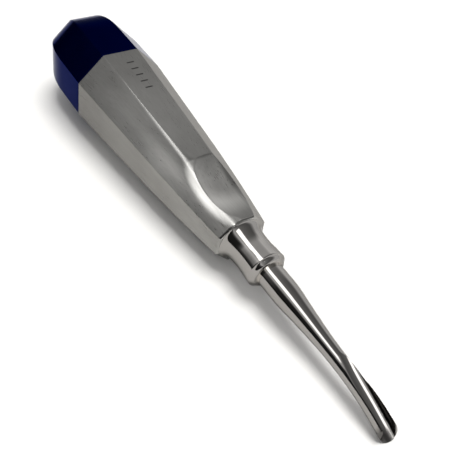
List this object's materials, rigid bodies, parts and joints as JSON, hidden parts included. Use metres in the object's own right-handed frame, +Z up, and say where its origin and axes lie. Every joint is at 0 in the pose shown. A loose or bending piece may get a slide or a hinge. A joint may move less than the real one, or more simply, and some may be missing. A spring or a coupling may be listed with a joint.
{
  "type": "dental elevator",
  "caption": "Luxating dental elevator: hollow octagonal steel grip with a thumb scoop, blue end cap, polished neck and a curved gouge blade on a tapering shank.",
  "frame": {"origin": "middle of the footprint box, on the surface that the tool lies on", "axes": "+X along the tool towards the blade tip, +Z up out of the thumb-scoop side, +Y to the left when looking along +X"},
  "size_m": [0.1614, 0.0266, 0.0273],
  "materials": {
    "polished_steel": "mirror-polished stainless steel",
    "satin_steel": "satin brushed stainless steel",
    "blue_anodised": "dark blue anodised, gloss",
    "braze_alloy": "polished silver braze",
    "seal_rubber": "matt black",
    "plain_steel": "as machined"
  },
  "bodies": {
    "root": {"blade": "polished_steel", "neck_collar": "polished_steel", "shank_braze_fillet": "braze_alloy", "handle_shell": "satin_steel", "end_cap": "blue_anodised", "cap_o_ring": "seal_rubber", "cap_key_pin": "plain_steel", "tang_cross_pin": "plain_steel", "tang_washer": "plain_steel", "tang_nut": "plain_steel"}
  },
  "joints": []
}
